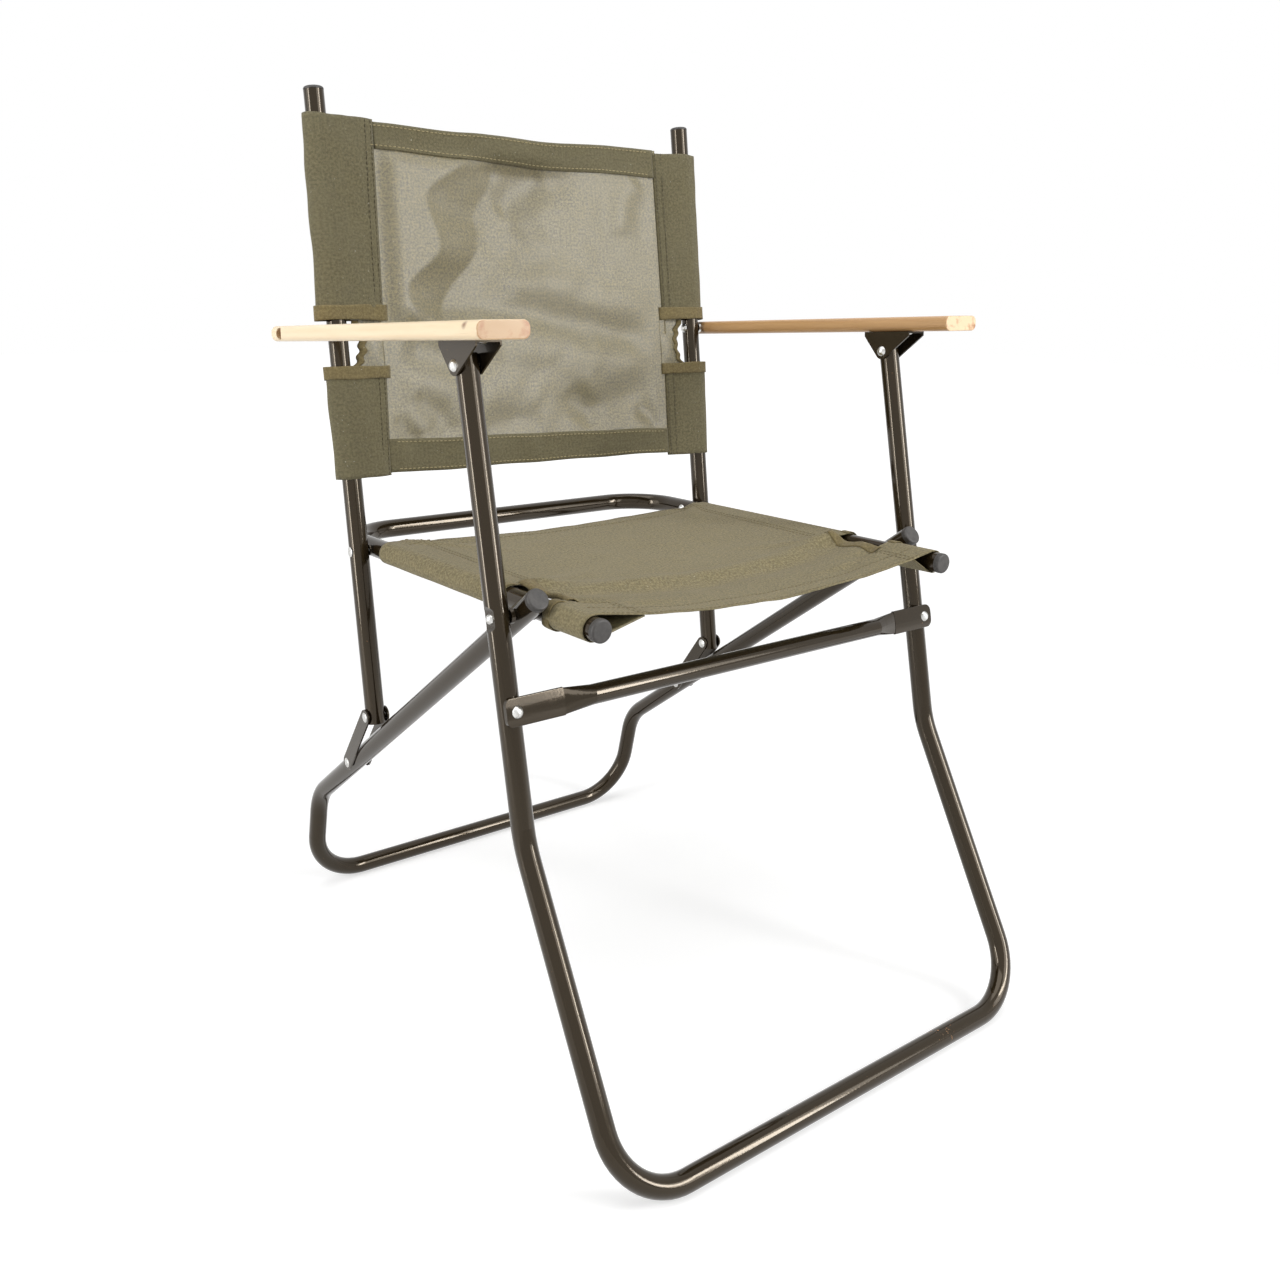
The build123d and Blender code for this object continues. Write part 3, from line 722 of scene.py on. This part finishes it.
def make_back_hem(part):
    """Edge of the back folded over to the front and sewn down."""
    across = steps(-1.0, 1.0, 0.0165)
    along = steps(0.0, 1.0, 0.1)
    outer = BACK_END[part]

    def spot(u, v):
        x = u * back_seam(side_of(u), outer)
        inner = hem_free_edge(part, x)
        low, high = min(inner, outer), max(inner, outer)
        return x, low + (high - low) * v

    return cloth_grid(
        f"back_hem_{part}", across, along, lambda u, v: on_hem(*spot(u, v), part), spot,
        materials=(OLIVE_BACK,),
    )


def sleeve_outline():
    """Section of a sleeve: share of the way from seam to tube, or the angle round the tube."""
    flat_steps, round_steps = 14, 30
    spots = [("front", i / flat_steps) for i in range(flat_steps)]
    spots += [("round", i / round_steps) for i in range(round_steps + 1)]
    spots += [("rear", 1 - i / flat_steps) for i in range(1, flat_steps + 1)]
    return spots


def tube_touch(radius, seam_x):
    """Where a sleeve's flat part meets the round one: the angle, and the place sideways and forward."""
    lean = math.acos(radius / (UPRIGHT_X - seam_x))
    return lean, UPRIGHT_X - radius * math.cos(lean), radius * math.sin(lean)


def sleeve_point(spot, radius, seam_x, slack):
    """Sideways and forward place of one spot of a sleeve's section."""
    lean, touch_x, touch_forward = tube_touch(radius, seam_x)
    layer, t = spot
    if layer == "round":
        angle = math.pi - lean - 2 * (math.pi - lean) * t
        x, forward = UPRIGHT_X + radius * math.cos(angle), radius * math.sin(angle)
        outward = smooth((x - UPRIGHT_X + 0.002) / 0.012)
        return x + slack * outward, forward * (1 - 0.25 * outward * smooth(slack / 0.008))
    facing = 1 if layer == "front" else -1
    bow = 0.0016 * math.sin(math.pi * t)
    x = seam_x + (touch_x - seam_x) * t
    return x, facing * (CLOTH + (touch_forward - CLOTH) * t + bow)


def make_sleeve(
    name, side, part, low, high, material, lift=0.0, tuck=0.0, seed=0.0, crumple=1.0, thickness=CLOTH
):
    """Cloth loop round an upright, sewn to the middle cloth along one seam."""
    radius = SLEEVE_R + lift
    spots = sleeve_outline()
    ends = SLEEVE_ENDS[side][part]
    slack_low, slack_high = SLEEVE_SLACK[side][part]

    def section(index, s):
        t = limited((s - ends[0]) / (ends[1] - ends[0]))
        slack = slack_low + (slack_high - slack_low) * t
        seam_x = back_seam(side, s) - tuck
        return (*sleeve_point(spots[index], radius, seam_x, slack + lift), seam_x)

    flats = [0.0]
    for i in range(1, len(spots)):
        a, b = section(i - 1, (low + high) / 2), section(i, (low + high) / 2)
        flats.append(flats[-1] + math.dist(a[:2], b[:2]))
    along = steps(low, high, 0.0033 if high - low > 0.03 else 0.0018)

    def place(index, s):
        x, forward, seam_x = section(index, s)
        flat = flats[index]
        off_tube = smooth((UPRIGHT_X - 0.006 - x) / 0.012) * smooth((x - seam_x) / 0.008)
        waves = 0.0016 * ripple(flat, s, 0.034, seed) + 0.0009 * ripple(flat * 2, s, 0.016, seed + 3)
        beyond = smooth((x - UPRIGHT_X - 0.006) / 0.006)
        x += crumple * beyond * 0.0012 * (1 + ripple(flat, s, 0.028, seed + 7))
        forward += math.copysign(1, forward) * crumple * off_tube * waves
        edge = 0.0015 * ripple(flat, 0.0, 0.028, seed + (11 if s > (low + high) / 2 else 13))
        near_end = smooth(1 - min(s - low, high - s) / 0.012)
        return on_back(side * x, s + crumple * edge * near_end, forward)

    piece = cloth_grid(
        name, range(len(spots)), along, place, lambda i, s: (flats[int(i)], s),
        materials=(material,), thickness=thickness,
    )
    return piece, flats[-1]


def make_gap_tab(side):
    """Cloth that shows in the armrest gap, with a bound, scalloped edge."""
    name = f"back_gap_edge_{SIDE_NAME[side]}"
    low, high = SLEEVE_ENDS[side]["lower"][1], SLEEVE_ENDS[side]["upper"][0]
    across = steps(0.0, 1.0, 0.06)[::side]
    along = steps(low - GAP_TUCK, high + GAP_TUCK, 0.0015)

    def edge_at(s):
        t = (s - low) / (high - low)
        bowl = 0.0088 * math.sin(math.pi * limited(t)) ** 0.6
        return GAP_EDGE - bowl + 0.0013 * math.cos(2 * math.pi * t * 4.5)

    def bend(x, s):
        return 0.0018 * math.sin((x - GAP_SEAM) * 150) * math.sin((s - low) * 95)

    def spot(u, s):
        return GAP_SEAM + (edge_at(s) - GAP_SEAM) * u

    cloth = cloth_grid(
        name, across, along, lambda u, s: on_back(side * spot(u, s), s, bend(spot(u, s), s)),
        lambda u, s: (spot(u, s), s), materials=(COATED, OLIVE_BACK),
    )
    # Binding: front layer, rolled edge and rear layer as (inset, lift)
    fold = [(0.0058, 0.0009), (0.0036, 0.0013), (0.0012, 0.0015), (-0.0004, 0.0009), (-0.0009, 0.0),
            (-0.0004, -0.0009), (0.0012, -0.0015), (0.0036, -0.0013), (0.0058, -0.0009)]

    def rim_place(i, s):
        inset, lift = fold[i]
        x = edge_at(s) - inset
        return on_back(side * (x + 0.0006 * ripple(s, i, 0.006, 2.0)), s, lift + bend(x, s))

    tape = cloth_grid(
        name + "_binding", range(len(fold)), steps(low + 0.0012, high - 0.0012, 0.0012), rim_place,
        lambda i, s: (i * 0.0018, s), materials=(TAPE,), thickness=0.0006,
    )
    return cloth, tape, (GAP_WIDTH, high - low + 2 * GAP_TUCK)


def hem_row(part, above_edge, reach=0.160):
    """Stitch line across a hem: a distance from its sewn edge, or from the fold if negative."""
    outer = BACK_END[part]
    way = 1 if part == "upper" else -1
    line = []
    for x in steps(-reach, reach, 0.003):
        s = hem_free_edge(part, x) + way * above_edge if above_edge > 0 else outer + way * above_edge
        line.append(on_hem(x, s, part, THREAD_LIFT))
    return line


def seam_row(side, part, inset, facing):
    """Stitch line up a sleeve beside its seam, on its front or rear layer."""
    low, high = SLEEVE_ENDS[side][part]
    line = []
    for s in steps(low + 0.002, high - 0.002, 0.004):
        seam_x = back_seam(side, s)
        _, touch_x, _ = tube_touch(SLEEVE_R, seam_x)
        t = inset / (touch_x - seam_x)
        x, forward = sleeve_point(("front" if facing > 0 else "rear", t), SLEEVE_R, seam_x, 0.0)
        line.append(on_back(side * x, s, forward + facing * (CLOTH / 2 + 0.0003)))
    return line


def make_back():
    """All cloth of the back, on the body that folds."""
    panel = make_back_panel()
    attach(panel, "back")
    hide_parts("back_canvas")
    for part in ("upper", "lower"):
        hem = make_back_hem(part)
        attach(hem, "back")
    seams = []
    for side in (LEFT, RIGHT):
        for part, (low, high) in SLEEVE_ENDS[side].items():
            label = f"back_sleeve_{SIDE_NAME[side]}_{part}"
            sleeve, girth = make_sleeve(
                label, side, part, low, high, OLIVE_BACK, seed=1.3 * side + 10 * low
            )
            wide = TAPE_WIDE[part]
            tape_low = low - TAPE_OVERHANG if part == "upper" else high - wide
            tape, _ = make_sleeve(
                label + "_tape", side, part, tape_low, tape_low + wide + TAPE_OVERHANG, TAPE,
                lift=TAPE_LIFT, tuck=TAPE_TUCK, seed=2.1 * side + 10 * low, crumple=0.8,
                thickness=TAPE_CLOTH,
            )
            for piece in (sleeve, tape):
                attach(piece, "back")
            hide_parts("back_canvas")
            for inset in SEAM_ROWS:
                seams += [seam_row(side, part, inset, 1), seam_row(side, part, inset, -1)]
        tab, binding, size = make_gap_tab(side)
        for piece in (tab, binding):
            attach(piece, "back")
    rows = [hem_row(part, place) for part in ("upper", "lower") for place in HEM_ROWS]
    hem_stitches = sew("back_hem_stitches", rows, THREAD)
    seam_stitches = sew("back_seam_stitches", seams, DARK_THREAD)
    for piece in (hem_stitches, seam_stitches):
        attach(piece, "back")


# Seat cloth


SEAT_WAY = direction(MAIN_PIVOT, SEAT_BACK_PIVOT)
SEAT_FRONT, SEAT_REAR = -0.192, 0.130
TOP_REACH = 0.187
# Stitch rows: distances from the front and rear edge, a rail sleeve's seam and a notch
FRONT_ROWS, REAR_ROWS, SLEEVE_ROWS, NOTCH_ROW = (0.003, 0.022), (0.003, 0.021), (0.0, 0.0060), 0.011
ROW_REACH = 0.180
# Tape round a rail sleeve's end at a notch: its reach along the sleeve, and past its end
CUFF_REACH, CUFF_OVERHANG = 0.0085, 0.0008
NOTCH = {LEFT: (-0.1405, -0.0800), RIGHT: (-0.1400, -0.0890)}
NOTCH_X = {LEFT: 0.180, RIGHT: 0.172}
# Inner edge of each rail sleeve as (place along the chair, distance from the middle)
SEAT_SEAM = {
    LEFT: [(-0.192, 0.143), (-0.150, 0.152), (-0.080, 0.166), (0.130, 0.167)],
    RIGHT: [(-0.192, 0.164), (-0.150, 0.165), (-0.080, 0.166), (0.130, 0.167)],
}


def rail_height(y):
    return MAIN_PIVOT[1] + (y - MAIN_PIVOT[0]) * SEAT_WAY[1] / SEAT_WAY[0]


def seat_sag(y):
    """The cloth hangs deeper towards the front."""
    return 0.0165 - 0.0110 * smooth((y - SEAT_FRONT) / (SEAT_REAR - SEAT_FRONT) * 0.9)


def seat_top(x, y):
    """Height of the sitting surface over the rails' axes."""
    share = max(0.0, 1 - (x / TOP_REACH) ** 2)
    hold = smooth(share * 5)
    height = SLEEVE_R - seat_sag(y) * share
    line = -0.083 - 0.012 * math.cos(math.pi * x / 0.36)
    height += 0.0036 * bell(y - line, 0.010) * hold
    height -= 0.0036 * bell(y - line + 0.022, 0.013) * hold
    for side in (LEFT, RIGHT):
        notch_front, notch_rear = NOTCH[side]
        for start, end, lift, wide in (
            ((0.178, SEAT_REAR - 0.006), (0.080, 0.030), 0.0038, 0.007),
            ((0.160, SEAT_REAR - 0.004), (0.050, 0.085), -0.0028, 0.008),
            ((0.164, notch_rear + 0.002), (0.070, -0.036), 0.0034, 0.008),
            ((0.166, notch_rear - 0.010), (0.060, -0.086), -0.0026, 0.006),
            ((0.164, notch_front), (0.070, -0.178), -0.0036, 0.008),
            ((0.150, notch_front - 0.012), (0.040, -0.150), 0.0024, 0.006),
        ):
            gap, where = near_line(x, y, [(side * start[0], start[1]), (side * end[0], end[1])])
            height += lift * (1 - where) * bell(gap, wide) * hold
    height += share * (0.0014 * ripple(x, y, 0.06, 2.2) + 0.0007 * ripple(x, y, 0.02, 6.4))
    return height


def seat_edge_shift(x, y):
    """The front and rear edges draw in a little between the rails."""
    share = max(0.0, 1 - (abs(x) / 0.20) ** 2)
    front = smooth(1 - (y - SEAT_FRONT) / 0.03)
    rear = smooth(1 - (SEAT_REAR - y) / 0.03)
    shift = front * (0.0035 * share + 0.0012 * ripple(x, 0.0, 0.05, 8.8))
    return shift - rear * (0.0060 * share - 0.0012 * ripple(x, 0.0, 0.05, 3.8))


def on_seat(x, y, above=0.0):
    return Vector((x, y + seat_edge_shift(x, y), rail_height(y) + seat_top(x, y) + above))


# Where the cloth meets the rail and leaves it below, in degrees round its axis
RING_TOP, RING_END = 104, -128


def seat_section():
    """Half of the cloth across the chair: sitting surface, round the rail, and under it to the seam."""
    spots = [("top", x) for x in steps(0.0, TOP_REACH, 0.0032, NOTCH_X.values())]
    spots += [("ring", math.radians(RING_TOP + (RING_END - RING_TOP) * i / 24)) for i in range(1, 25)]
    spots += [("under", i / 10) for i in range(1, 11)]
    return spots


def seat_point(side, spot, y):
    layer, value = spot
    if layer == "top":
        return on_seat(side * value, y)
    base = rail_height(y)
    ring_end = math.radians(RING_END)
    if layer == "ring":
        uneven = 1 + ripple(value * 0.02, y, 0.03, 4.0 + side)
        swell = 1 + 0.025 * uneven * smooth(-math.sin(value) + 0.4)
        x, up = RAIL_X + SLEEVE_R * swell * math.cos(value), SLEEVE_R * swell * math.sin(value)
        return Vector((side * x, y + seat_edge_shift(x, y), base + up))
    seam_x = between(SEAT_SEAM[side], y)
    start = (RAIL_X + SLEEVE_R * 1.04 * math.cos(ring_end), SLEEVE_R * 1.04 * math.sin(ring_end))
    x = start[0] + (seam_x - start[0]) * value
    up = start[1] + (seat_top(side * seam_x, y) - 0.0012 - start[1]) * value
    up = min(up, seat_top(side * x, y) - 0.0012)
    return Vector((side * x, y + seat_edge_shift(x, y), base + up))


def make_seat():
    """Seat cloth with its rail sleeves, notches, tapes and stitches."""
    half = seat_section()
    spots = [(LEFT, spot) for spot in reversed(half[1:])] + [(RIGHT, spot) for spot in half]
    flats = [0.0]
    for (side_a, a), (side_b, b) in zip(spots, spots[1:]):
        flats.append(flats[-1] + (seat_point(side_b, b, 0.0) - seat_point(side_a, a, 0.0)).length)
    middle = flats[-1] / 2
    marks = [y for side in (LEFT, RIGHT) for y in NOTCH[side]]
    along = steps(SEAT_FRONT, SEAT_REAR, 0.0034, marks)

    def kept(i, y):
        ends = (spots[int(i)], spots[int(i) + 1])
        side = ends[0][0] if int(i) < len(spots) // 2 else RIGHT
        inside = all(spot[0] == "top" and spot[1] <= NOTCH_X[side] + 1e-9 for _, spot in ends)
        return inside or not NOTCH[side][0] < y < NOTCH[side][1]

    cloth = cloth_grid(
        "seat_cloth", range(len(spots)), along, lambda i, y: seat_point(*spots[i], y),
        lambda i, y: (flats[i] - middle, y), kept, materials=(OLIVE_SEAT_PAINTED_LIT, COATED),
    )
    edge_rows = [SEAT_FRONT + gap for gap in FRONT_ROWS] + [SEAT_REAR - gap for gap in REAR_ROWS]
    rows = [
        [on_seat(x, y, THREAD_LIFT) for x in steps(-ROW_REACH, ROW_REACH, 0.004)] for y in edge_rows
    ]
    pieces = []
    for side in (LEFT, RIGHT):
        low, high = NOTCH[side]
        for inset in SLEEVE_ROWS:
            for start, end in ((SEAT_FRONT + 0.002, low - 0.002), (high + 0.010, SEAT_REAR - 0.002)):
                rows.append([
                    on_seat(side * (between(SEAT_SEAM[side], y) - inset), y, THREAD_LIFT)
                    for y in steps(start, end, 0.004)
                ])
        beside = NOTCH_X[side] - NOTCH_ROW
        past = steps(low - 0.009, high + 0.009, 0.004)
        rows.append([on_seat(side * beside, y, THREAD_LIFT) for y in past])
        pieces.append(make_notch_tape(side))
        pieces.append(make_cuff(side, "front", low - CUFF_REACH, low + CUFF_OVERHANG))
        pieces.append(make_cuff(side, "rear", high - CUFF_OVERHANG, high + CUFF_REACH))
    pieces.append(sew("seat_stitches", rows, SEAT_THREAD))
    for piece in (cloth, *pieces):
        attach(piece, "seat")
    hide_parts("seat_canvas")


def make_notch_tape(side):
    """Tape rolled over the inner edge of the notch for the pivot."""
    low, high = NOTCH[side]
    # Its section from the sitting side, over the edge and back under, as (inset, lift)
    fold = [(0.0105, 0.0009), (0.0080, 0.0013), (0.0050, 0.0019), (0.0022, 0.0023), (0.0, 0.0019),
            (-0.0012, 0.0008), (-0.0013, -0.0006), (-0.0002, -0.0018), (0.0025, -0.0023),
            (0.0055, -0.0018), (0.0085, -0.0012)]

    def place(i, y):
        inset, lift = fold[i]
        crimp = ripple(y, i * 0.004, 0.009, 5.5 + side)
        x = NOTCH_X[side] - inset * (1 + 0.15 * crimp)
        point = on_seat(side * x, y, lift * (1.05 + 0.5 * crimp))
        point.x += side * 0.0010 * ripple(y, 0.0, 0.018, 1.5 + side)
        return point

    return cloth_grid(
        f"seat_notch_tape_{SIDE_NAME[side]}", range(len(fold)),
        steps(low - 0.004, high + 0.004, 0.0016), place,
        lambda i, y: (i * 0.0026, y), materials=(TAPE,), thickness=TAPE_CLOTH,
    )


def make_cuff(side, end, y_low, y_high):
    """Tape round the end of a rail sleeve beside the notch."""
    radius = SLEEVE_R + 0.0013
    turn = math.radians(RING_TOP + 8 - RING_END)
    count = 30

    def place(i, y):
        angle = math.radians(RING_TOP + 8) - turn * i / count
        uneven = 1 + ripple(angle * 0.02, y, 0.012, 3.0 + side)
        swell = 1 + 0.05 * uneven * smooth(-math.sin(angle) + 0.5)
        # The rear leg passes close by the rail, so the tape lies flat there
        x = min(RAIL_X + radius * swell * math.cos(angle), RAIL_X + SLEEVE_R + 0.0001)
        edge = 0.0012 * ripple(angle * 0.01, 0.0, 0.01, 7.0)
        return Vector((side * x, y + edge, rail_height(y) + radius * swell * math.sin(angle)))

    return cloth_grid(
        f"seat_cuff_{SIDE_NAME[side]}_{end}", range(count + 1), steps(y_low, y_high, 0.0018), place,
        lambda i, y: (radius * turn * i / count, y), materials=(TAPE,), thickness=TAPE_CLOTH,
    )


# Stage


FLOOR_REACH = 9.0
FLOOR_GREY = (0.60, 0.60, 0.60, 1)
# The seen floor also glows, more so away from the chair: distances and strengths
FLOOR_GLOW = {"From Min": 0.9, "From Max": 3.2, "To Min": 0.52, "To Max": 0.92}
FILL_LIGHT = 0.2


def seen_ray(tree):
    """Rays that look at the backdrop: straight, or by a reflection or through a clear piece."""
    rays = tree_node(tree, "ShaderNodeLightPath").outputs
    mirrored = maths(tree, "MAXIMUM", rays["Is Glossy Ray"], rays["Is Transmission Ray"])
    return maths(tree, "MAXIMUM", rays["Is Camera Ray"], mirrored)


def choose_seen(tree, plain, seen):
    """One shader for the light on the chair, and another where the backdrop itself is seen."""
    values = {0: seen_ray(tree), 1: plain.outputs[0], 2: seen.outputs[0]}
    return tree_node(tree, "ShaderNodeMixShader", values).outputs[0]


def make_floor():
    """White floor that keeps the chair's shadow."""
    white, tree, shader = new_material("white_floor")
    feed(tree, shader, {"Base Color": FLOOR_GREY, "Roughness": 0.9})
    away = tree_node(tree, "ShaderNodeVectorMath", {0: object_place(tree)}, operation="LENGTH")
    strength = tree_node(tree, "ShaderNodeMapRange", {"Value": away.outputs["Value"], **FLOOR_GLOW})
    glow = tree_node(tree, "ShaderNodeEmission", {"Color": WHITE, "Strength": strength.outputs["Result"]})
    both = tree_node(tree, "ShaderNodeAddShader", {0: shader.outputs[0], 1: glow.outputs[0]})
    feed(tree, tree.nodes["Material Output"], {"Surface": choose_seen(tree, shader, both)})
    mesh = bpy.data.meshes.new("studio_floor")
    corners = [(x * FLOOR_REACH, y * FLOOR_REACH, 0) for x, y in ((-1, -1), (1, -1), (1, 1), (-1, 1))]
    mesh.from_pydata(corners, [], [(0, 1, 2, 3)])
    mesh.materials.append(white)
    floor = add_object("studio_floor", mesh)


def make_studio():
    """White surroundings that light the chair only faintly."""
    world = bpy.data.worlds.new("studio")
    bpy.context.scene.world = world
    world.use_nodes = True
    tree = world.node_tree
    fill = tree.nodes["Background"]
    feed(tree, fill, {"Color": WHITE, "Strength": FILL_LIGHT})
    seen = tree_node(tree, "ShaderNodeBackground", {"Color": WHITE, "Strength": 1.0})
    feed(tree, tree.nodes["World Output"], {"Surface": choose_seen(tree, fill, seen)})


# Lamps as place, aim, size across and up, and power in watts
LAMPS = {
    "key_softbox": ((0.95, -2.1, 1.4), (0, 0.1, 0.5), (1.6, 1.4), 24),
    "left_softbox": ((-2.0, 0.65, 0.85), (0, 0, 0.5), (0.9, 1.6), 8),
    "right_strip": ((1.25, -2.0, 1.3), (0, 0, 0.5), (0.30, 1.5), 27),
    "left_strip": ((-1.95, 0.15, 0.80), (0, 0, 0.45), (0.30, 1.5), 21),
    "top_softbox": ((-0.2, -0.2, 2.8), (0, 0, 0.4), (2.4, 2.4), 40),
}
# The photo's camera: focal length and optical centre in pixels of its square frame
PHOTO_PIXELS = 1280
FOCAL_PIXELS = 1200.8
OPTICAL_CENTRE = (621.74, 583.74)
SENSOR = 36.0
CAMERA_PLACE = (-0.68138, -0.85939, 0.66069)
CAMERA_TURN = (75.5640, -1.07215, -37.35331)


def make_lamp(name, place, target, size, power):
    light = bpy.data.lights.new(name, "AREA")
    light.shape = "RECTANGLE"
    light.size, light.size_y = size
    light.energy = power
    holder = add_object(name, light)
    holder.location = place
    way = Vector(target) - Vector(place)
    holder.rotation_euler = way.to_track_quat("-Z", "Y").to_euler()


def make_camera():
    """The photo's own view."""
    camera = bpy.data.cameras.new("photo_camera")
    camera.sensor_fit = "HORIZONTAL"
    camera.sensor_width = SENSOR
    camera.lens = SENSOR * FOCAL_PIXELS / PHOTO_PIXELS
    camera.shift_x = (PHOTO_PIXELS / 2 - OPTICAL_CENTRE[0]) / PHOTO_PIXELS
    camera.shift_y = -(PHOTO_PIXELS / 2 - OPTICAL_CENTRE[1]) / PHOTO_PIXELS
    holder = add_object("photo_camera", camera)
    holder.location = CAMERA_PLACE
    holder.rotation_euler = Euler([math.radians(a) for a in CAMERA_TURN], "XYZ")
    bpy.context.scene.camera = holder
    bpy.context.scene.view_settings.view_transform = "Standard"


dress_nodes()
make_back()
make_seat()
make_floor()
make_studio()
for lamp_name, (place, target, size, power) in LAMPS.items():
    make_lamp(lamp_name, place, target, size, power)
make_camera()
